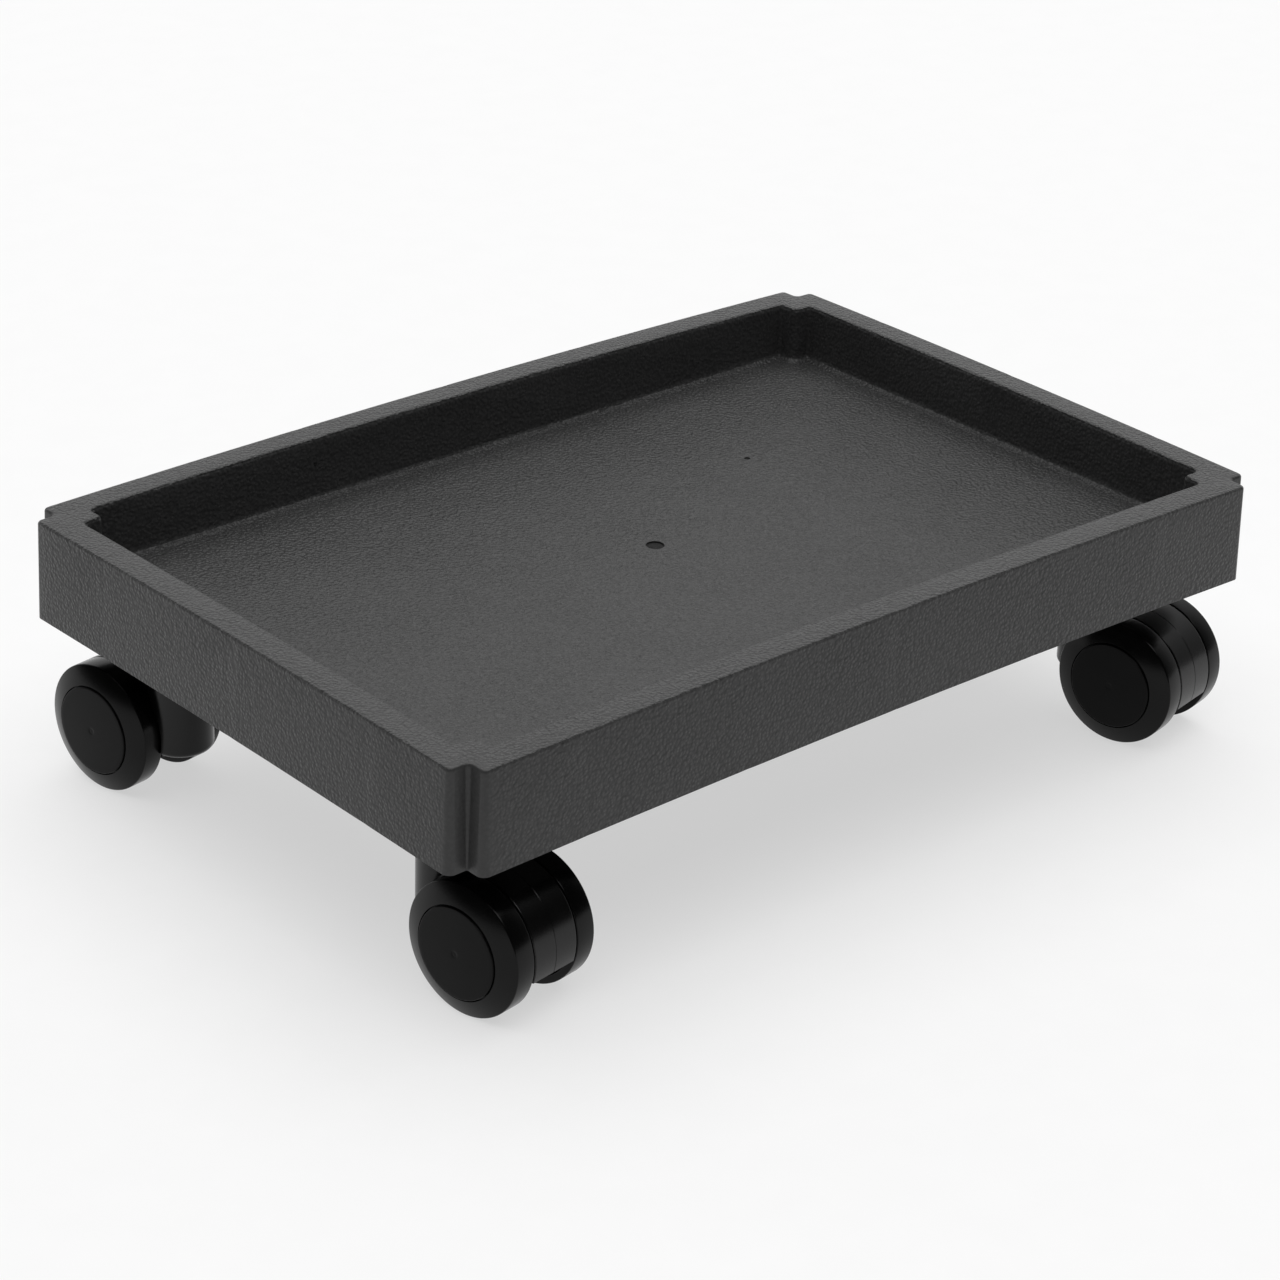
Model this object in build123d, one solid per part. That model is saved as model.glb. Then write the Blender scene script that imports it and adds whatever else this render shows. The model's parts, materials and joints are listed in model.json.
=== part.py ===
from build123d import *
import math
import os

# Furniture dolly: a moulded tray on four twin-wheel swivel casters.
# Millimetres, +Z up, +X along the tray's long side. The origin is on the ground, under the tray's centre.

# Tray
TRAY_LENGTH = 390.0          # outside, at rim height
TRAY_WIDTH = 258.0
RIM_HEIGHT = 105.3           # rim above the ground at the four corners
SKIRT_HEIGHT = 38.8
RIM_WIDTH = 12.7
NOTCH = 8.0                  # square step let into each outer corner
INNER_NOTCH = 8.4            # the same step on the inner wall
NOTCH_OUTER_ROUND = 3.4
NOTCH_INNER_ROUND = 0.6      # the step's inside corner is nearly sharp
INNER_NOTCH_ROUND = 1.4
WALL = 2.5
FLOOR_DEPTH = 23.0           # rim at the corners down to the loading floor
FLOOR_THICKNESS = 2.8
OUTER_DRAFT = 1.5            # degrees, wider at the foot
INNER_DRAFT = 1.2
CROWN_RADIUS = 7500.0        # rim and skirt foot both follow a very flat dome
FLOOR_FILLET = 3.0
RIM_OUTER_FILLET = 1.2
RIM_INNER_FILLET = 1.8
RIB_THICKNESS = 2.0
RIB_FOOT_GAP = 4.0           # ribs stop this far above the foot of the skirt
CROSS_RIBS = 5               # ribs across the tray, and their spacing
CROSS_RIB_PITCH = 71.4
LONG_RIBS = 3                # ribs along it
LONG_RIB_PITCH = 77.0
GATE_CENTRE = (5.0, 5.0)
GATE_RADIUS = 3.4
GATE_DEPTH = 0.6
PIP_CENTRE = (89.0, 44.5)
PIP_RADIUS = 1.2
PIP_DEPTH = 0.4

# Caster positions and how far each is swivelled at rest: direction of trail in degrees from +X
CASTER_X = 161.3
CASTER_Y = 80.9
CASTERS = {
    "front_left": (-1, -1, -81.5),
    "front_right": (1, -1, -79.0),
    "back_left": (-1, 1, 98.7),
    "back_right": (1, 1, 101.5),
}

# Caster
WHEEL_RADIUS = 25.0
TRAIL = 23.1                 # swivel axis to axle
HOOD_HALF = 10.4             # the hood fills the space between the wheels
HOOD_WALL = 2.5
HOOD_LOW_ANGLE = 17.0        # the hood ends this far below axle height, both sides
HOOD_EDGE_ROUND = 0.5
SEAM_WIDTH = 0.4
SEAM_DEPTH = 0.12
WEB_THICKNESS = 4.0
HUB_RADIUS = 7.0
HUB_HALF = 8.4
NECK_RADIUS = 12.5
NECK_FOOT = 19.0
NECK_TOP = 57.9
NECK_FOOT_FILLET = 2.5
NECK_TOP_CHAMFER = 0.8
WHEEL_WELL_RADIUS = 25.7     # the neck is cut back to this round each wheel

# Wheel, measured outwards from the middle of the caster
WHEEL_INNER = 10.9
TREAD_EDGE_BEVEL = 0.4
TREAD_END = 18.3
SHOULDER_OUT = 20.2
SHOULDER_RADIUS = 23.9
FACE_OUT = 22.9
FACE_LIP = 0.15              # bevel between the face ring and the groove round the cap
CAP_RADIUS = 17.1
CAP_GAP = 0.4
CAP_SEAT = 21.3
CAP_FACE = 23.2
CAP_DOME = 0.8
CAP_EDGE_ROUND = 0.4
CAP_GATE_RADIUS = 1.0        # flat spot in the middle of the dome
SNAP_RING_GAP = 0.1
SNAP_RING_WALL = 1.0
SNAP_RING_FOOT = 19.2
POCKET_RADIUS = 9.0          # room for the clip, closed by the cap
POCKET_FLOOR = 18.0
POCKET_BACK = 16.5
POCKET_OUTER_RADIUS = 10.8
WHEEL_HUB_START = 9.0
WHEEL_HUB_RADIUS = 6.5
WEB_INNER = 19.0
WEB_BEVEL = 2.3
RIM_INSIDE_RADIUS = 22.2
SPOKES = 6
SPOKE_THICKNESS = 1.4
SPOKE_START = 12.5

# Steel parts
AXLE_RADIUS = 3.0
AXLE_CLEARANCE = 0.05
AXLE_HALF = 20.3
AXLE_CHAMFER = 0.4
CLIP_RADIUS = 6.0
CLIP_THICKNESS = 0.6
CLIP_GAP = 0.2
STEM_RADIUS = 4.0
STEM_CLEARANCE = 0.05
STEM_FOOT = 27.0
STEM_END_GAP = 1.5           # bore goes on below the stem
STEM_BEVEL = 0.5
COLLAR_RADIUS = 7.5
COLLAR_THICKNESS = 1.7
SHANK_NECK_RADIUS = 3.9
SHANK_HEAD_RADIUS = 5.2
SHANK_HEAD_LENGTH = 3.0
SHANK_HEAD_BEVEL = 1.0
SHANK_TOP = 78.2
RING_INNER_RADIUS = 4.2
RING_OUTER_RADIUS = 5.45
RING_SLOT = 1.6
RING_FOOT = 62.5
RING_TOP = 75.0
SOCKET_RADIUS = 5.5
SOCKET_TOP = 79.0
BOSS_RADIUS = 12.5
BOSS_FOOT = 60.0

BEYOND = 1.0                 # cutting shapes run this far past what they cut
BLOCK_SPARE = 5.0            # the tray's blocks run past its domed top and foot, then are cut back

# Worked out from the above
SKIRT_FOOT = RIM_HEIGHT - SKIRT_HEIGHT
FLOOR_TOP = RIM_HEIGHT - FLOOR_DEPTH
FLOOR_UNDER = FLOOR_TOP - FLOOR_THICKNESS
HALF_LENGTH = TRAY_LENGTH / 2
HALF_WIDTH = TRAY_WIDTH / 2
CORNER_DROP = (HALF_LENGTH ** 2 + HALF_WIDTH ** 2) / (2 * CROWN_RADIUS)
CROWN_APEX = RIM_HEIGHT + CORNER_DROP
BLOCK_FOOT = SKIRT_FOOT - BLOCK_SPARE
BLOCK_TOP = CROWN_APEX + BLOCK_SPARE
BORE_RADIUS = AXLE_RADIUS + AXLE_CLEARANCE
GROOVE_RADIUS = CAP_RADIUS + CAP_GAP


def drafted(height_above_rim, draft):
    """How far a drafted wall has moved inwards at a height above the rim's corners."""
    return height_above_rim * math.tan(math.radians(draft))


def notched_outline(half_x, half_y, notch, convex, concave):
    """A rectangle with a small square step in each corner, all corners rounded."""
    points = []
    for sx, sy in ((1, 1), (-1, 1), (-1, -1), (1, -1)):
        corner = [
            (sx * half_x, sy * (half_y - notch)),
            (sx * (half_x - notch), sy * (half_y - notch)),
            (sx * (half_x - notch), sy * half_y),
        ]
        points += corner if sx * sy > 0 else corner[::-1]
    sketch = make_face(Polyline(*points, close=True))
    step = (half_x - notch, half_y - notch)
    sketch = fillet([v for v in sketch.vertices() if not is_step_corner(v, step)], convex)
    return fillet([v for v in sketch.vertices() if is_step_corner(v, step)], concave)


def is_step_corner(vertex, step):
    """True for the vertex at the inside of a corner step."""
    return math.isclose(abs(vertex.X), step[0]) and math.isclose(abs(vertex.Y), step[1])


def dome(drop):
    """A huge ball whose top is the rim's crown, lowered by drop."""
    return Pos(0, 0, CROWN_APEX - drop - CROWN_RADIUS) * Rot(0, 90, 0) * Sphere(CROWN_RADIUS)


def outer_block(inset):
    """The tray's outside as a solid block, its walls moved in by inset."""
    foot = BLOCK_FOOT - RIM_HEIGHT
    grow = -drafted(foot, OUTER_DRAFT)
    outline = notched_outline(
        HALF_LENGTH + grow - inset,
        HALF_WIDTH + grow - inset,
        NOTCH,
        NOTCH_OUTER_ROUND - inset,
        NOTCH_INNER_ROUND + inset,
    )
    return Pos(0, 0, BLOCK_FOOT) * extrude(outline, BLOCK_TOP - BLOCK_FOOT, taper=OUTER_DRAFT)


def well_block(outset, foot):
    """The loading well as a solid block from a foot height up, its walls moved out by outset."""
    shrink = drafted(RIM_HEIGHT - foot, INNER_DRAFT)
    outline = notched_outline(
        HALF_LENGTH - RIM_WIDTH - shrink + outset,
        HALF_WIDTH - RIM_WIDTH - shrink + outset,
        INNER_NOTCH,
        INNER_NOTCH_ROUND + outset,
        NOTCH_OUTER_ROUND - outset,
    )
    return Pos(0, 0, foot) * extrude(outline, BLOCK_TOP - foot, taper=-INNER_DRAFT)


def rib_plates():
    """Five ribs across the tray and three along it, as tall plates."""
    foot = SKIRT_FOOT + RIB_FOOT_GAP
    tall = BLOCK_TOP - foot
    middle = (BLOCK_TOP + foot) / 2
    plates = []
    for i in range(CROSS_RIBS):
        x = (i - (CROSS_RIBS - 1) / 2) * CROSS_RIB_PITCH
        plates.append(Pos(x, 0, middle) * Box(RIB_THICKNESS, TRAY_WIDTH, tall))
    for i in range(LONG_RIBS):
        y = (i - (LONG_RIBS - 1) / 2) * LONG_RIB_PITCH
        plates.append(Pos(0, y, middle) * Box(TRAY_LENGTH, RIB_THICKNESS, tall))
    return plates


def rim_face(tray):
    """The domed top face of the rim."""
    return tray.faces().filter_by(GeomType.SPHERE).sort_by(Axis.Z)[-1]


def upright(radius, low, high):
    """A cylinder on Z between two heights."""
    return Pos(0, 0, (low + high) / 2) * Cylinder(radius, high - low)


def make_tray():
    """Rim, walls, floor, ribs and stem bosses: one moulding."""
    tray = outer_block(0) & dome(0)
    tray -= dome(SKIRT_HEIGHT)
    well = well_block(0, FLOOR_TOP)
    well = fillet(well.faces().sort_by(Axis.Z)[0].edges(), FLOOR_FILLET)
    hollow = outer_block(WALL) & dome(WALL)
    hollow -= well_block(WALL, FLOOR_UNDER)
    hollow -= rib_plates()
    tray -= well
    tray = fillet(rim_face(tray).outer_wire().edges(), RIM_OUTER_FILLET)
    tray = fillet(rim_face(tray).inner_wires()[0].edges(), RIM_INNER_FILLET)
    tray -= hollow
    for sx, sy, _ in CASTERS.values():
        place = Pos(sx * CASTER_X, sy * CASTER_Y, 0)
        tray += place * upright(BOSS_RADIUS, BOSS_FOOT, FLOOR_UNDER)
        tray -= place * upright(SOCKET_RADIUS, BOSS_FOOT - BEYOND, SOCKET_TOP)
    gate = upright(GATE_RADIUS, FLOOR_TOP - GATE_DEPTH, FLOOR_TOP + BEYOND)
    pip = upright(PIP_RADIUS, FLOOR_TOP - PIP_DEPTH, FLOOR_TOP + BEYOND)
    tray -= Pos(*GATE_CENTRE) * gate
    tray -= Pos(*PIP_CENTRE) * pip
    return tray


def about_axle(profile, start=0.0, arc=360.0):
    """Turn a profile drawn in the plane of axle (Y) and radius (Z) round the axle's line."""
    turned = revolve(Plane.YZ * profile, Axis.Y, arc)
    return Pos(TRAIL, 0, WHEEL_RADIUS) * Rot(0, start, 0) * turned


def axle_cylinder(radius, low, high):
    """A cylinder on the axle's line between two places along it."""
    length = high - low
    return Pos(TRAIL, (low + high) / 2, WHEEL_RADIUS) * Rot(90, 0, 0) * Cylinder(radius, length)


def make_housing():
    """Hood, web, axle hub and neck of one caster, swivel axis on Z and trailing towards +X."""
    inside = WHEEL_RADIUS - HOOD_WALL
    half_seam = SEAM_WIDTH / 2
    section = make_face(Polyline(
        (-HOOD_HALF, inside),
        (HOOD_HALF, inside),
        (HOOD_HALF, WHEEL_RADIUS),
        (half_seam, WHEEL_RADIUS),
        (0, WHEEL_RADIUS - SEAM_DEPTH),
        (-half_seam, WHEEL_RADIUS),
        (-HOOD_HALF, WHEEL_RADIUS),
        close=True,
    ))
    top_corners = section.vertices().sort_by(Axis.X)
    top_corners = [v for v in (*top_corners[:2], *top_corners[-2:]) if v.Y > inside]
    section = fillet(top_corners, HOOD_EDGE_ROUND)
    web_top = inside + HOOD_WALL / 2
    web = Pos(0, web_top / 2) * Rectangle(WEB_THICKNESS, web_top)
    cover = 180.0 + 2 * HOOD_LOW_ANGLE
    # Profiles start straight up, so they are swung back to the low end of the hood first.
    first = 90.0 + HOOD_LOW_ANGLE
    housing = about_axle(section, first - cover, cover) + about_axle(web, first - cover, cover)
    housing += axle_cylinder(HUB_RADIUS, -HUB_HALF, HUB_HALF)
    neck = upright(NECK_RADIUS, NECK_FOOT, NECK_TOP)
    neck = fillet(neck.edges().group_by(Axis.Z)[0], NECK_FOOT_FILLET)
    neck = chamfer(neck.edges().group_by(Axis.Z)[-1], NECK_TOP_CHAMFER)
    for low, high in ((-2 * NECK_RADIUS, -HOOD_HALF), (HOOD_HALF, 2 * NECK_RADIUS)):
        neck -= axle_cylinder(WHEEL_WELL_RADIUS, low, high)
    housing += neck
    housing -= axle_cylinder(AXLE_RADIUS, -HUB_HALF - BEYOND, HUB_HALF + BEYOND)
    housing -= upright(STEM_RADIUS + STEM_CLEARANCE, STEM_FOOT - STEM_END_GAP, NECK_TOP + BEYOND)
    return housing


def make_wheel(side):
    """One hollow wheel: tread, shoulder, sloping face ring, web, hub and inside spokes."""
    outline = Polyline(
        (TREAD_END, WHEEL_RADIUS),
        (WHEEL_INNER + TREAD_EDGE_BEVEL, WHEEL_RADIUS),
        (WHEEL_INNER, WHEEL_RADIUS - TREAD_EDGE_BEVEL),
        (WHEEL_INNER, RIM_INSIDE_RADIUS),
        (WEB_INNER - WEB_BEVEL, RIM_INSIDE_RADIUS),
        (WEB_INNER, RIM_INSIDE_RADIUS - WEB_BEVEL),
        (WEB_INNER, POCKET_OUTER_RADIUS),
        (POCKET_BACK, POCKET_OUTER_RADIUS),
        (POCKET_BACK, WHEEL_HUB_RADIUS),
        (WHEEL_HUB_START, WHEEL_HUB_RADIUS),
        (WHEEL_HUB_START, BORE_RADIUS),
        (CAP_SEAT, BORE_RADIUS),
        (CAP_SEAT, GROOVE_RADIUS),
        (FACE_OUT - FACE_LIP, GROOVE_RADIUS),
        (FACE_OUT - FACE_LIP / 2, GROOVE_RADIUS + FACE_LIP),
        (SHOULDER_OUT, SHOULDER_RADIUS),
    )
    shoulder = TangentArc((TREAD_END, WHEEL_RADIUS), (SHOULDER_OUT, SHOULDER_RADIUS), tangent=(1, 0))
    wheel = about_axle(make_face(outline + shoulder))
    spoke_low = (WHEEL_HUB_RADIUS + BORE_RADIUS) / 2
    spoke_high = (RIM_INSIDE_RADIUS + SHOULDER_RADIUS) / 2
    spoke_end = (WEB_INNER + CAP_SEAT) / 2
    spoke = Pos(0, (SPOKE_START + spoke_end) / 2, (spoke_low + spoke_high) / 2) * Box(
        SPOKE_THICKNESS, spoke_end - SPOKE_START, spoke_high - spoke_low
    )
    for i in range(SPOKES):
        wheel += Pos(TRAIL, 0, WHEEL_RADIUS) * Rot(0, 360 * i / SPOKES, 0) * spoke
    wheel -= axle_cylinder(POCKET_RADIUS, POCKET_FLOOR, CAP_SEAT + BEYOND)
    return wheel if side > 0 else wheel.mirror(Plane.XZ)


def make_cap(side):
    """The disc that closes the wheel, slightly domed, with a ring behind that snaps into the pocket."""
    edge = CAP_FACE - CAP_DOME
    rounded = CAP_RADIUS - CAP_EDGE_ROUND
    ring_outer = POCKET_RADIUS - SNAP_RING_GAP
    ring_inner = ring_outer - SNAP_RING_WALL
    outline = Polyline(
        (CAP_FACE, CAP_GATE_RADIUS),
        (CAP_FACE, 0),
        (CAP_SEAT, 0),
        (CAP_SEAT, ring_inner),
        (SNAP_RING_FOOT, ring_inner),
        (SNAP_RING_FOOT, ring_outer),
        (CAP_SEAT, ring_outer),
        (CAP_SEAT, CAP_RADIUS),
        (edge - CAP_EDGE_ROUND, CAP_RADIUS),
    )
    edge_arc = TangentArc((edge - CAP_EDGE_ROUND, CAP_RADIUS), (edge, rounded), tangent=(1, 0))
    # Half way in, a shallow dome has risen three quarters of its height.
    halfway = (edge + CAP_DOME * 3 / 4, rounded / 2)
    dome_arc = ThreePointArc((edge, rounded), halfway, (CAP_FACE, CAP_GATE_RADIUS))
    cap = about_axle(make_face(outline + edge_arc + dome_arc))
    return cap if side > 0 else cap.mirror(Plane.XZ)


def make_axle():
    """A plain steel pin, pressed into the housing's hub."""
    axle = axle_cylinder(AXLE_RADIUS, -AXLE_HALF, AXLE_HALF)
    return chamfer(axle.edges().filter_by(GeomType.CIRCLE), AXLE_CHAMFER)


def make_axle_clips():
    """The two push-on clips that keep the wheels on the axle."""
    clips = []
    for side in (-1, 1):
        start = POCKET_FLOOR + CLIP_GAP
        low, high = sorted((side * start, side * (start + CLIP_THICKNESS)))
        clip = axle_cylinder(CLIP_RADIUS, low, high)
        clips.append(clip - axle_cylinder(AXLE_RADIUS, low - BEYOND, high + BEYOND))
    return clips


def make_stem():
    """Steel stem: a pin that the housing turns on, a collar, and a shank for the tray's socket."""
    profile = Polyline(
        (0, STEM_FOOT),
        (STEM_RADIUS - STEM_BEVEL, STEM_FOOT),
        (STEM_RADIUS, STEM_FOOT + STEM_BEVEL),
        (STEM_RADIUS, BOSS_FOOT - COLLAR_THICKNESS),
        (COLLAR_RADIUS, BOSS_FOOT - COLLAR_THICKNESS),
        (COLLAR_RADIUS, BOSS_FOOT),
        (SHANK_NECK_RADIUS, BOSS_FOOT),
        (SHANK_NECK_RADIUS, SHANK_TOP - SHANK_HEAD_LENGTH),
        (SHANK_HEAD_RADIUS, SHANK_TOP - SHANK_HEAD_LENGTH),
        (SHANK_HEAD_RADIUS, SHANK_TOP - SHANK_HEAD_BEVEL),
        (SHANK_HEAD_RADIUS - SHANK_HEAD_BEVEL, SHANK_TOP),
        (0, SHANK_TOP),
        close=True,
    )
    return revolve(Plane.XZ * make_face(profile), Axis.Z)


def make_stem_ring():
    """The split spring sleeve that grips the socket."""
    ring = upright(RING_OUTER_RADIUS, RING_FOOT, RING_TOP)
    ring -= upright(RING_INNER_RADIUS, RING_FOOT - BEYOND, RING_TOP + BEYOND)
    slot = Box(2 * RING_OUTER_RADIUS, RING_SLOT, 2 * RING_TOP)
    return ring - Pos(RING_OUTER_RADIUS, 0, 0) * slot


def write(node, shapes, place=Pos(0, 0, 0)):
    """Put one node's solids where they belong and save them."""
    solids = [place * solid for shape in shapes for solid in shape.solids()]
    shape = solids[0] if len(solids) == 1 else Compound(children=solids)
    export_step(shape, f"parts/{node}.step")


def main():
    os.makedirs("parts", exist_ok=True)
    write("tray", [make_tray()])
    housing = make_housing()
    stem = make_stem()
    ring = make_stem_ring()
    axle = make_axle()
    clips = make_axle_clips()
    wheels = {side: make_wheel(side) for side in (-1, 1)}
    caps = {side: make_cap(side) for side in (-1, 1)}
    for name, (sx, sy, trail_angle) in CASTERS.items():
        place = Pos(sx * CASTER_X, sy * CASTER_Y, 0) * Rot(0, 0, trail_angle)
        write(f"{name}_housing", [housing], place)
        write(f"{name}_stem", [stem], place)
        write(f"{name}_stem_ring", [ring], place)
        write(f"{name}_axle", [axle], place)
        write(f"{name}_axle_clips", clips, place)
        # The wheel on the caster's own +Y side lies towards the dolly's left on the back casters.
        for side in (-1, 1):
            hand = "right" if side * sy < 0 else "left"
            write(f"{name}_wheel_{hand}", [wheels[side]], place)
            write(f"{name}_cap_{hand}", [caps[side]], place)


main()
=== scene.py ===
import json
import math

import bmesh
import bpy
from mathutils import Matrix, Vector


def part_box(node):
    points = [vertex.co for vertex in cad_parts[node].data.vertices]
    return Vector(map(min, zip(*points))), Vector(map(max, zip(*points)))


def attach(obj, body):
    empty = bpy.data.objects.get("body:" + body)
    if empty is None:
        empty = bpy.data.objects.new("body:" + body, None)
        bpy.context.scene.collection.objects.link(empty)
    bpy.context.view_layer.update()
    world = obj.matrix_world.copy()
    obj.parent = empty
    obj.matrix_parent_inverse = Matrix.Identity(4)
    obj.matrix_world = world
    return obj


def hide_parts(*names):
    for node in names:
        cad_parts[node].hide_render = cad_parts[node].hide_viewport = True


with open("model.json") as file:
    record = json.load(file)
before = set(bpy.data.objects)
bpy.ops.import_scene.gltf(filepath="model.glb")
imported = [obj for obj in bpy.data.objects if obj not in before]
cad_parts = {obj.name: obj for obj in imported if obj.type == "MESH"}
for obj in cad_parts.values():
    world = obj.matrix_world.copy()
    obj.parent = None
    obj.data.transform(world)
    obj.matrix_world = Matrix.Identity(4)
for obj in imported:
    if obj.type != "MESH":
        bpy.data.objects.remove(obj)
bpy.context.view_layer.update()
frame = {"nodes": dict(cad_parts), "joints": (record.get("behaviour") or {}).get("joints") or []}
nodes = frame["nodes"]

MM = 0.001

# The tray's driving dimensions, and the places of the marks on it
RIM_HEIGHT = 105.3 * MM      # rim above the ground at the corners
FLOOR_TOP = 82.3 * MM        # loading floor of the well
HALF_LENGTH = 195.0 * MM     # outside of the tray at rim height
HALF_WIDTH = 129.0 * MM
GATE = Vector((5.0, 5.0, 82.0)) * MM          # where the plastic was let into the mould
PIP = Vector((89.0, 44.5, 82.1)) * MM
FLECK = Vector((-72.0, 116.1, 97.0)) * MM     # a small nick in the far wall
SCARS = ((GATE, 3.4 * MM), (PIP, 1.2 * MM), (FLECK, 0.8 * MM))    # each with its radius
SCAR_FADE = 1.15             # a scar has faded out at this many times its radius
CASTERS = ("front_left", "front_right", "back_left", "back_right")
HANDS = ("left", "right")


# ---------------------------------------------------------------- finishes

# Where a soft patch of noise starts to show and where it is full
PATCH_EDGES = (0.3, 0.7)
STEEL_PATCH_EDGES = (0.35, 0.65)

# Tray: a pebbled leather grain, with grey levels from 0 to 1
GRAIN_CELL = 0.0013
GRAIN_GRIT = 0.0011
GRAIN_CELL_SHARE = 0.9
GRAIN_GRIT_SHARE = 0.5
GRAIN_DEPTH = 0.00040
GRAIN_LIGHT_EDGES = (0.6, 1.15)      # grain heights where its lighter grey starts and is full
GRAIN_LIGHT_SHARE = 0.6
CORNER_START = 0.016                 # metres in from the outside where a corner starts to smooth out
CORNER_FULL = 0.006                  # and where it is smoothest
CORNER_GRAIN_LOSS = 0.8
CORNER_LIGHT_LOSS = 0.4
UPWARD_EDGES = (0.5, 0.9)            # upward facing, where the grain starts to deepen and is full
GRAIN_ON_WALLS = 0.8
GRAIN_EXTRA_ON_TOP = 1.2
TRAY_PATCH = 0.045
TRAY_DARK = 0.034
TRAY_LIGHT = 0.040
TRAY_GRAIN_LIGHT = 0.062
SCAR_DARK = 0.012
TRAY_ROUGHNESS = 0.37
TRAY_ROUGHNESS_SPREAD = 0.06
SCAR_ROUGHNESS = 0.5
TRAY_SHINE = 0.24

# Moulded nylon of the casters
NYLON_PATCH = 0.012
NYLON_FINE = 0.0004
NYLON_DARK_SHARE = 0.9
NYLON_LIGHT_SHARE = 1.15
NYLON_PATCH_ROUGHNESS = 0.05
NYLON_FINE_ROUGHNESS = 0.04

# Zinc plated steel
STEEL_PATCH = 0.004
STEEL_LINE = 0.0009
STEEL_LINE_STRETCH = (1, 1, 6)
STEEL_DARK = 0.50
STEEL_LIGHT = (0.58, 0.58, 0.60, 1.0)
STEEL_ROUGHNESS = 0.28
STEEL_PATCH_ROUGHNESS = 0.15
STEEL_LINE_ROUGHNESS = 0.06
STEEL_LINE_DEPTH = 0.00001

# Table top
TABLE_CLOUD = 0.02
TABLE_DARK = 0.32
TABLE_LIGHT = 0.34
TABLE_ROUGHNESS = 0.9
TABLE_SHINE = 0.1
TABLE_GLOW = 0.58


class Signal:
    """One output of a shader node, usable in Python expressions."""

    def __init__(self, finish, socket):
        self.finish = finish
        self.socket = socket

    def math(self, operation, *values):
        return self.finish.node("Math", {"operation": operation}, dict(enumerate(values)))

    def __add__(self, other):
        return self.math("ADD", self, other)

    def __sub__(self, other):
        return self.math("SUBTRACT", self, other)

    def __rsub__(self, other):
        return self.math("SUBTRACT", other, self)

    def __mul__(self, other):
        return self.math("MULTIPLY", self, other)

    def __abs__(self):
        return self.math("ABSOLUTE", self)

    __radd__ = __add__
    __rmul__ = __mul__

    def rise(self, low, high):
        """0 below low, 1 above high, and a smooth step between them."""
        span = {"Value": self, "From Min": low, "From Max": high}
        return self.finish.node("MapRange", {"interpolation_type": "SMOOTHSTEP"}, span)


class Nodes:
    """The node tree of a material or a world, cleared and ready to fill."""

    def __init__(self, owner):
        owner.use_nodes = True
        self.owner = owner
        self.tree = owner.node_tree
        self.tree.nodes.clear()

    def node(self, kind, settings, inputs, output=0):
        """Adds a node: its settings first, then the values or links of its sockets."""
        made = self.tree.nodes.new("ShaderNode" + kind)
        for name, value in settings.items():
            setattr(made, name, value)
        for key, value in inputs.items():
            if isinstance(value, Signal):
                self.tree.links.new(value.socket, made.inputs[key])
            else:
                made.inputs[key].default_value = value
        return Signal(self, made.outputs[output]) if made.outputs else None


class Finish(Nodes):
    """A material on one Principled shader, made from named signals."""

    def __init__(self, name):
        super().__init__(bpy.data.materials.new(name))
        self.where = self.node("TexCoord", {}, {}, "Object")

    def place(self, axis):
        """Where the surface is along one axis, in metres, in the dolly's own frame."""
        return self.node("SeparateXYZ", {}, {"Vector": self.where}, axis)

    def facing(self, axis):
        """How far the surface faces along one axis of the dolly, from -1 to 1."""
        normal = self.node("TexCoord", {}, {}, "Normal")
        return self.node("SeparateXYZ", {}, {"Vector": normal}, axis)

    def spot(self, centre, radius):
        """1 within a radius of a point, fading to 0 just outside it."""
        ends = {0: self.where, 1: centre}
        distance = self.node("VectorMath", {"operation": "DISTANCE"}, ends, "Value")
        return 1 - distance.rise(radius, radius * SCAR_FADE)

    def noise(self, size, detail=2.0, roughness=0.5, stretch=(1, 1, 1)):
        """Soft noise from 0 to 1 whose blotches are about size metres across."""
        spread = {"Vector": self.where, "Scale": stretch}
        at = self.node("Mapping", {"vector_type": "POINT"}, spread)
        inputs = {"Vector": at, "Scale": 1 / size, "Detail": detail, "Roughness": roughness}
        return self.node("TexNoise", {}, inputs, "Fac")

    def pebbles(self, size, softness=0.6):
        """Rounded cells about size metres across: 0 at their middles, rising to their edges."""
        inputs = {"Vector": self.where, "Scale": 1 / size, "Smoothness": softness}
        return self.node("TexVoronoi", {"feature": "SMOOTH_F1"}, inputs, "Distance")

    def blend(self, amount, first, second):
        """A colour between two colours."""
        # Sockets 0, 6 and 7 of a Mix node are its factor and its two colours, and output 2 is a colour.
        inputs = {0: amount, 6: first, 7: second}
        return self.node("Mix", {"data_type": "RGBA"}, inputs, 2)

    def bump(self, height, depth):
        """A normal bent by a height from 0 to 1, worth depth metres."""
        return self.node("Bump", {}, {"Height": height, "Distance": depth, "Strength": 1.0}, "Normal")

    def shade(self, **sockets):
        """Sets the shader's sockets, whose names are written with underscores."""
        inputs = {}
        for name, value in sockets.items():
            inputs[name.replace("_", " ").title().replace("Ior", "IOR")] = value
        shader = self.node("BsdfPrincipled", {}, inputs, "BSDF")
        self.node("OutputMaterial", {}, {"Surface": shader})
        return self.owner


def grey(level):
    return (level, level, level, 1.0)


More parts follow.
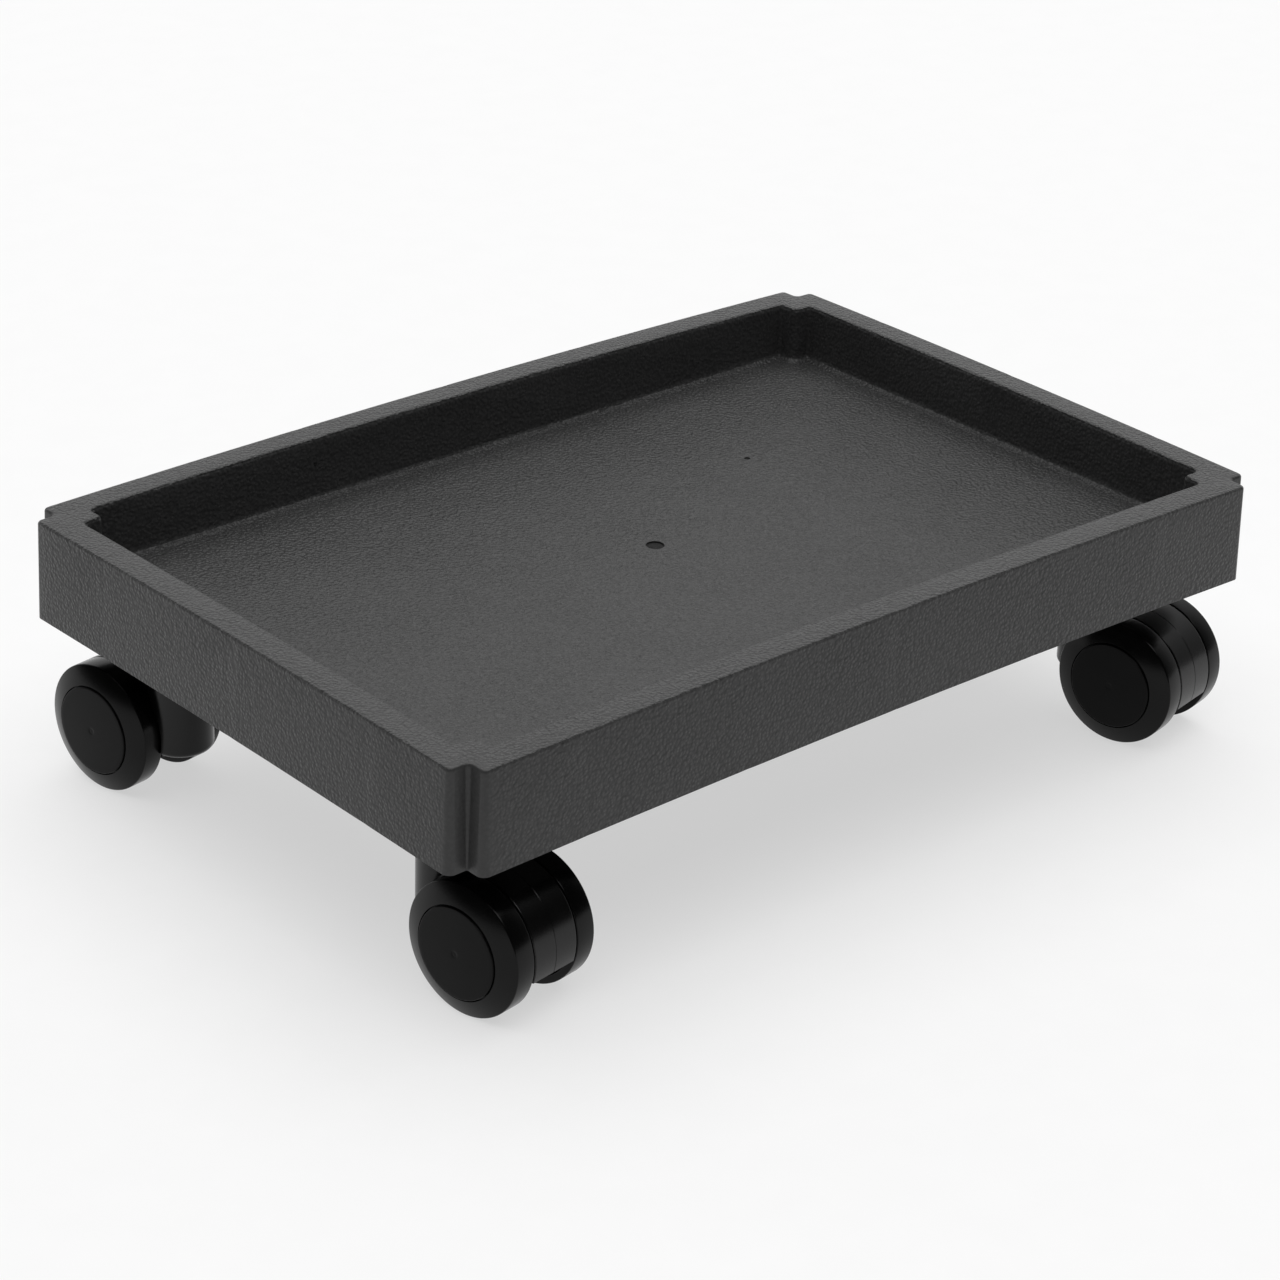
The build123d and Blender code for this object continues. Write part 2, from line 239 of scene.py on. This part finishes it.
def tray_plastic():
    """Dark grey polypropylene with a fine leather grain, smoother on its corner columns."""
    finish = Finish("tray_plastic")
    corner = abs(finish.place("X")).rise(HALF_LENGTH - CORNER_START, HALF_LENGTH - CORNER_FULL)
    corner = corner * abs(finish.place("Y")).rise(HALF_WIDTH - CORNER_START, HALF_WIDTH - CORNER_FULL)
    facing_up = finish.facing("Z").rise(*UPWARD_EDGES)
    cells = finish.pebbles(GRAIN_CELL) * GRAIN_CELL_SHARE
    grain = 1 - cells + finish.noise(GRAIN_GRIT, 1.0) * GRAIN_GRIT_SHARE
    height = grain * (1 - corner * CORNER_GRAIN_LOSS) * (GRAIN_ON_WALLS + facing_up * GRAIN_EXTRA_ON_TOP)
    patches = finish.noise(TRAY_PATCH, 3.0)
    colour = finish.blend(patches.rise(*PATCH_EDGES), grey(TRAY_DARK), grey(TRAY_LIGHT))
    lit = grain.rise(*GRAIN_LIGHT_EDGES) * (GRAIN_LIGHT_SHARE - corner * CORNER_LIGHT_LOSS)
    colour = finish.blend(lit, colour, grey(TRAY_GRAIN_LIGHT))
    scars = sum(finish.spot(centre, radius) for centre, radius in SCARS)
    colour = finish.blend(scars, colour, grey(SCAR_DARK))
    roughness = TRAY_ROUGHNESS + patches * TRAY_ROUGHNESS_SPREAD - grain * TRAY_ROUGHNESS_SPREAD
    roughness = roughness + scars * SCAR_ROUGHNESS
    normal = finish.bump(height, GRAIN_DEPTH)
    return finish.shade(base_color=colour, roughness=roughness, normal=normal,
                        specular_ior_level=TRAY_SHINE)


def moulded_black(name, level, roughness, grain_depth, shine):
    """Satin black nylon: faint flow patches and a very fine eroded texture."""
    finish = Finish(name)
    patches = finish.noise(NYLON_PATCH, 3.0)
    fine = finish.noise(NYLON_FINE, 2.0)
    dark = grey(level * NYLON_DARK_SHARE)
    light = grey(level * NYLON_LIGHT_SHARE)
    colour = finish.blend(patches.rise(*PATCH_EDGES), dark, light)
    middle = (NYLON_PATCH_ROUGHNESS + NYLON_FINE_ROUGHNESS) / 2
    rough = roughness + patches * NYLON_PATCH_ROUGHNESS + fine * NYLON_FINE_ROUGHNESS - middle
    normal = finish.bump(fine, grain_depth)
    return finish.shade(base_color=colour, roughness=rough, normal=normal, specular_ior_level=shine)


def zinc_steel():
    """Zinc plated steel with faint turning lines and small dull patches."""
    finish = Finish("zinc_steel")
    patches = finish.noise(STEEL_PATCH, 4.0)
    lines = finish.noise(STEEL_LINE, 2.0, stretch=STEEL_LINE_STRETCH)
    colour = finish.blend(patches.rise(*STEEL_PATCH_EDGES), grey(STEEL_DARK), STEEL_LIGHT)
    roughness = STEEL_ROUGHNESS + patches * STEEL_PATCH_ROUGHNESS + lines * STEEL_LINE_ROUGHNESS
    normal = finish.bump(lines, STEEL_LINE_DEPTH)
    return finish.shade(base_color=colour, metallic=1.0, roughness=roughness, normal=normal)


def light_table():
    """A matte white table top, lit a little from within so that shadows on it stay soft."""
    finish = Finish("light_table")
    cloudy = finish.noise(TABLE_CLOUD, 3.0)
    colour = finish.blend(cloudy, grey(TABLE_DARK), grey(TABLE_LIGHT))
    return finish.shade(base_color=colour, roughness=TABLE_ROUGHNESS, specular_ior_level=TABLE_SHINE,
                        emission_color=grey(1.0), emission_strength=TABLE_GLOW)


def dress(piece, material):
    piece.data.materials.clear()
    piece.data.materials.append(material)


# ---------------------------------------------------------------- studio

CAMERA_AZIMUTH = math.radians(-42.11)
CAMERA_ELEVATION = math.radians(26.34)
CAMERA_ROLL = math.radians(2.06)
CAMERA_DISTANCE = 1.3565
CAMERA_SLIDE = (-0.0060, -0.0535)    # sideways and up, so that the dolly sits in the frame
CAMERA_LENS = 101.86                 # millimetres
CAMERA_SENSOR = 36.0                 # millimetres across

BACKDROP_DIRECTION = (0.67, 0.74, 0.0)
BACKDROP_EDGES = (0.10, 0.70)        # cosines from its direction where it starts and is full
BACKDROP_LIGHT = 0.90
ROOM_LIGHT = 0.010
PAPER_WHITE = 0.97
CEILING_SPREAD = 84.0                # degrees across, as seen from the floor
CEILING_STRENGTH = 2.9
TABLE_HALF = 12.0                    # metres from the middle of the table top to its edge


def make_camera():
    azimuth, elevation = CAMERA_AZIMUTH, CAMERA_ELEVATION
    back = Vector((
        math.sin(azimuth) * math.cos(elevation),
        -math.cos(azimuth) * math.cos(elevation),
        math.sin(elevation),
    ))
    level = Vector((0, 0, 1)).cross(back).normalized()
    upright = back.cross(level)
    side = level * math.cos(CAMERA_ROLL) + upright * math.sin(CAMERA_ROLL)
    top = upright * math.cos(CAMERA_ROLL) - level * math.sin(CAMERA_ROLL)
    centre = Vector((0, 0, RIM_HEIGHT))
    place = centre + back * CAMERA_DISTANCE + side * CAMERA_SLIDE[0] + top * CAMERA_SLIDE[1]
    camera = bpy.data.objects.new("camera", bpy.data.cameras.new("camera"))
    bpy.context.scene.collection.objects.link(camera)
    aim = Matrix((side, top, back)).transposed().to_4x4()
    camera.matrix_world = Matrix.Translation(place) @ aim
    camera.data.sensor_width = CAMERA_SENSOR
    camera.data.lens = CAMERA_LENS
    bpy.context.scene.camera = camera


def make_studio():
    scene = bpy.context.scene
    scene.view_settings.view_transform = "Standard"
    scene.world = studio_air()
    ceiling = bpy.data.lights.new("ceiling_light", "SUN")
    ceiling.angle = math.radians(CEILING_SPREAD)
    ceiling.energy = CEILING_STRENGTH
    lamp = bpy.data.objects.new("ceiling_light", ceiling)
    scene.collection.objects.link(lamp)
    lamp.rotation_euler = Vector((0, 0, -1)).to_track_quat("-Z", "Y").to_euler()
    mesh = bpy.data.meshes.new("studio_floor")
    half = TABLE_HALF
    corners = [(-half, -half, 0), (half, -half, 0), (half, half, 0), (-half, half, 0)]
    mesh.from_pydata(corners, [], [(0, 1, 2, 3)])
    floor = bpy.data.objects.new("studio_floor", mesh)
    scene.collection.objects.link(floor)
    dress(floor, light_table())


def studio_air():
    """Light from a white backdrop behind the dolly and a dark room; the view itself is all white."""
    air = Nodes(bpy.data.worlds.new("studio_air"))
    direction = air.node("TexCoord", {}, {}, "Generated")
    facing = {0: direction, 1: BACKDROP_DIRECTION}
    towards = air.node("VectorMath", {"operation": "DOT_PRODUCT"}, facing, "Value")
    brightness = ROOM_LIGHT + towards.rise(*BACKDROP_EDGES) * (BACKDROP_LIGHT - ROOM_LIGHT)
    seen = air.node("LightPath", {}, {}, "Is Camera Ray")
    brightness = brightness * (1 - seen) + seen * PAPER_WHITE
    light = air.node("Background", {}, {"Color": grey(1.0), "Strength": brightness})
    air.node("OutputWorld", {}, {"Surface": light})
    return air.owner


# ---------------------------------------------------------------- shapes

ARC_STEPS = 5                # facets in each rounded corner of a turned outline
TURN_STEPS = 144             # facets round a wheel or cap
ON_AXIS = 1e-7               # metres; a point this near the axis is on it
CREASE = 30                  # degrees; edges sharper than this stay sharp
TRAY_CREASE = 35


def rounded(corners):
    """A closed outline from (along, radius, rounding) corners, each corner turned by a small arc."""
    outline = []
    for i, (along, radius, rounding) in enumerate(corners):
        here = Vector((along, radius))
        before = Vector(corners[i - 1][:2]) - here
        after = Vector(corners[(i + 1) % len(corners)][:2]) - here
        if rounding == 0:
            outline.append(here)
            continue
        half = before.angle(after) / 2
        reach = rounding / math.tan(half)
        first = before.normalized() * reach
        last = after.normalized() * reach
        middle = (first + last).normalized() * (rounding / math.sin(half))
        sweep = math.pi - 2 * half
        for k in range(ARC_STEPS + 1):
            share = k / ARC_STEPS
            # A point on the arc, from the blend of its two ends' directions about its middle.
            one = math.sin((1 - share) * sweep) / math.sin(sweep)
            two = math.sin(share * sweep) / math.sin(sweep)
            outline.append(here + middle + (first - middle) * one + (last - middle) * two)
    return outline


def turned(name, outline):
    """A solid of revolution about its own X axis from a closed outline of (along, radius)."""
    made = bmesh.new()
    rings = []
    for along, radius in outline:
        if radius < ON_AXIS:
            rings.append([made.verts.new((along, 0, 0))] * TURN_STEPS)
            continue
        ring = []
        for k in range(TURN_STEPS):
            angle = 2 * math.pi * k / TURN_STEPS
            ring.append(made.verts.new((along, radius * math.cos(angle), radius * math.sin(angle))))
        rings.append(ring)
    for i, ring in enumerate(rings):
        following = rings[(i + 1) % len(rings)]
        for k in range(TURN_STEPS):
            around = (ring[k], ring[k - 1], following[k - 1], following[k])
            corners = list(dict.fromkeys(around))
            if len(corners) > 2:
                made.faces.new(corners)
    bmesh.ops.recalc_face_normals(made, faces=made.faces)
    return save(name, made)


def save(name, made, crease=CREASE):
    """Turns a bmesh into a mesh, smooth except at creases sharper than an angle in degrees."""
    mesh = bpy.data.meshes.new(name)
    made.to_mesh(mesh)
    made.free()
    mesh.shade_smooth()
    mesh.set_sharp_from_angle(angle=math.radians(crease))
    return mesh


def joined(name, first, *others):
    """The union of closed meshes, as one clean mesh."""
    base = bpy.data.objects.new(name, first)
    bpy.context.scene.collection.objects.link(base)
    tools = []
    for mesh in others:
        tool = bpy.data.objects.new(name + "_tool", mesh)
        bpy.context.scene.collection.objects.link(tool)
        union = base.modifiers.new("union", "BOOLEAN")
        union.operation = "UNION"
        union.solver = "EXACT"
        union.object = tool
        tools.append(tool)
    bpy.context.view_layer.update()
    graph = bpy.context.evaluated_depsgraph_get()
    result = bpy.data.meshes.new_from_object(base.evaluated_get(graph))
    for used in (base, *tools):
        bpy.data.objects.remove(used)
    result.shade_smooth()
    result.set_sharp_from_angle(angle=math.radians(CREASE))
    return result


# ---------------------------------------------------------------- wheels and caps

# Outlines in millimetres: how far out from the caster's middle, radius, and rounding of the corner
WHEEL_OUTLINE = (
    (10.9, 25.0, 0.45),
    (19.3, 25.0, 0.7),
    (22.5, 17.6, 0.12),
    (21.3, 17.5, 0.1),
    (21.3, 9.0, 0.1),
    (18.0, 9.0, 0.3),
    (18.0, 3.05, 0.2),
    (9.0, 3.05, 0.2),
    (9.0, 6.5, 0.4),
    (16.5, 6.5, 0.5),
    (16.5, 10.8, 0.4),
    (19.0, 10.8, 0.5),
    (19.0, 19.9, 0.5),
    (16.7, 22.2, 0.5),
    (10.9, 22.2, 0.3),
)
SPOKES = 6
SPOKE_FROM, SPOKE_TO = 12.5, 19.6        # along the axle
SPOKE_INNER, SPOKE_OUTER = 5.8, 22.8     # radii
SPOKE_THICK = 1.4

CAP_RADIUS = 17.1
CAP_BACK = 21.3
CAP_EDGE = 23.0
CAP_FACE = 23.5
CAP_CROWN_STEPS = 10
CAP_CROWN_INSET = 0.4                    # the crown starts this far in from the cap's edge
CAP_EDGE_ROUND = 0.38
SNAP_RING_INNER = 7.9
SNAP_RING_OUTER = 8.9
SNAP_RING_FOOT = 19.2
CAP_GATE_RADIUS = 1.1                    # the dimple in the middle of the cap
CAP_GATE_CLEAR = 1.6                     # the crown stops at this many times its radius
# The dimple's outline: how many times its radius out, and how deep
CAP_GATE_OUTLINE = ((1.2, 0.02), (1.0, 0.10), (0.5, 0.08), (0, 0.03))


def wheel_mesh():
    """A hollow wheel, its turned body joined with the spokes inside it."""
    body = turned("wheel", [point * MM for point in rounded(WHEEL_OUTLINE)])
    spokes = []
    for k in range(SPOKES):
        made = bmesh.new()
        bmesh.ops.create_cube(made, size=1.0)
        size = Vector((SPOKE_TO - SPOKE_FROM, SPOKE_THICK, SPOKE_OUTER - SPOKE_INNER)) * MM
        centre = Vector((SPOKE_FROM + SPOKE_TO, 0, SPOKE_INNER + SPOKE_OUTER)) * MM / 2
        turn = Matrix.Rotation(2 * math.pi * k / SPOKES, 4, "X")
        made.transform(turn @ Matrix.Translation(centre) @ Matrix.Diagonal((*size, 1.0)))
        spokes.append(save("spoke", made))
    return joined("wheel", body, *spokes)


def cap_mesh():
    """A shallow domed disc with a rounded rim, a small gate dimple, and a snap ring behind."""
    crown = []
    reach = CAP_RADIUS - CAP_CROWN_INSET
    clear = CAP_GATE_CLEAR * CAP_GATE_RADIUS
    for k in range(CAP_CROWN_STEPS + 1):
        radius = reach - (reach - clear) * k / CAP_CROWN_STEPS
        crown.append((CAP_EDGE + (CAP_FACE - CAP_EDGE) * (1 - (radius / reach) ** 2), radius, 0))
    centre = crown[-1][0]
    outline = [
        (CAP_BACK, 0, 0),
        (CAP_BACK, SNAP_RING_INNER, 0.1),
        (SNAP_RING_FOOT, SNAP_RING_INNER, 0.3),
        (SNAP_RING_FOOT, SNAP_RING_OUTER, 0.3),
        (CAP_BACK, SNAP_RING_OUTER, 0.1),
        (CAP_BACK, CAP_RADIUS, 0.2),
        (CAP_EDGE, CAP_RADIUS, CAP_EDGE_ROUND),
        *crown[1:],
        *[(centre - depth, CAP_GATE_RADIUS * share, 0) for share, depth in CAP_GATE_OUTLINE],
    ]
    return turned("cap", [point * MM for point in rounded(outline)])


def placed(name, mesh, joint, outward, stands_for, material):
    """A turned piece with its own X axis along a wheel joint's axis, pointing outward."""
    piece = bpy.data.objects.new(name, mesh.copy())
    bpy.context.scene.collection.objects.link(piece)
    along = Vector(joint["axis"]) * outward
    across = Vector((0, 0, 1)).cross(along).normalized()
    turn = Matrix((along, across, along.cross(across))).transposed().to_4x4()
    piece.data.transform(Matrix.Translation(joint["pos_m"]) @ turn)
    dress(piece, material)
    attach(piece, joint["child"])
    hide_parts(stands_for)
    return piece


def make_wheels():
    """Eight wheels and their caps, each riding on its own wheel body."""
    wheel_nylon = moulded_black("wheel_nylon", level=0.002, roughness=0.21, grain_depth=0.00001, shine=0.16)
    cap_nylon = moulded_black("cap_nylon", level=0.003, roughness=0.32, grain_depth=0.00002, shine=0.09)
    joints = {joint["name"]: joint for joint in frame["joints"]}
    wheel, cap = wheel_mesh(), cap_mesh()
    for caster in CASTERS:
        for hand in HANDS:
            joint = joints[f"{caster}_wheel_{hand}_spin"]
            low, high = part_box(f"{caster}_wheel_{hand}")
            middle = (low + high) / 2
            outward = math.copysign(1, (middle - Vector(joint["pos_m"])).dot(Vector(joint["axis"])))
            rim = placed(f"{caster}_rim_{hand}", wheel, joint, outward,
                         f"{caster}_wheel_{hand}", wheel_nylon)
            disc = placed(f"{caster}_disc_{hand}", cap, joint, outward,
                          f"{caster}_cap_{hand}", cap_nylon)


# ---------------------------------------------------------------- tray

CROSS_RIB_PITCH = 71.4
LONG_RIB_PITCH = 77.0
CROSS_RIBS = [k * CROSS_RIB_PITCH * MM for k in (-2, -1, 0, 1, 2)]    # places along X
LONG_RIBS = [k * LONG_RIB_PITCH * MM for k in (-1, 0, 1)]             # places along Y
SINK_DEPTH = 0.07 * MM
SINK_WIDTH = 2.2 * MM
SINK_CUT_PITCH = 0.9
SINK_CUTS = [k * SINK_CUT_PITCH * MM for k in range(-5, 6)]           # cuts either side of a rib
SKIN = 1.5 * MM              # anything nearer than this to the outside counts as outside
WELD = 1e-7                  # metres; corners nearer than this are one corner


def make_tray():
    """The tray's moulding, with the shallow sinks that its hidden ribs pull in."""
    moulding = nodes["tray"].data
    plain = bpy.data.meshes.new("tray_plain")
    corners = [vertex.co for vertex in moulding.vertices]
    plain.from_pydata(corners, [], [face.vertices for face in moulding.polygons])
    made = bmesh.new()
    made.from_mesh(plain)
    bmesh.ops.remove_doubles(made, verts=made.verts, dist=WELD)
    for axis, ribs in ((Vector((1, 0, 0)), CROSS_RIBS), (Vector((0, 1, 0)), LONG_RIBS)):
        for rib in ribs:
            for cut in SINK_CUTS:
                everything = [*made.verts, *made.edges, *made.faces]
                point = axis * (rib + cut)
                bmesh.ops.bisect_plane(made, geom=everything, plane_co=point, plane_no=axis)
    made.normal_update()
    moves = [(vertex, -vertex.normal * sink_at(vertex)) for vertex in made.verts]
    for vertex, move in moves:
        vertex.co += move
    tray = bpy.data.objects.new("tray_moulding", save("tray_moulding", made, TRAY_CREASE))
    bpy.context.scene.collection.objects.link(tray)
    dress(tray, tray_plastic())
    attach(tray, "deck")
    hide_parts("tray")


def sink_at(vertex):
    """How deep the surface is drawn in at a vertex."""
    x, y, z = vertex.co
    outside = abs(x) > HALF_LENGTH - SKIN or abs(y) > HALF_WIDTH - SKIN
    if not outside and z < FLOOR_TOP - SKIN:
        return 0
    cross = max(math.exp(-((x - rib) / SINK_WIDTH) ** 2) for rib in CROSS_RIBS)
    along = max(math.exp(-((y - rib) / SINK_WIDTH) ** 2) for rib in LONG_RIBS)
    return SINK_DEPTH * max(cross * (1 - abs(vertex.normal.x)), along * (1 - abs(vertex.normal.y)))


# ---------------------------------------------------------------- carried-over pieces

def dress_frame():
    """The housings and steel parts keep their own shapes and get their finishes."""
    hood_nylon = moulded_black("hood_nylon", level=0.002, roughness=0.23, grain_depth=0.00001, shine=0.28)
    steel = zinc_steel()
    for name, node in nodes.items():
        if name.endswith("_housing"):
            dress(node, hood_nylon)
        elif name.endswith(("_stem", "_stem_ring", "_axle", "_axle_clips")):
            dress(node, steel)


make_camera()
make_studio()
make_tray()
make_wheels()
dress_frame()
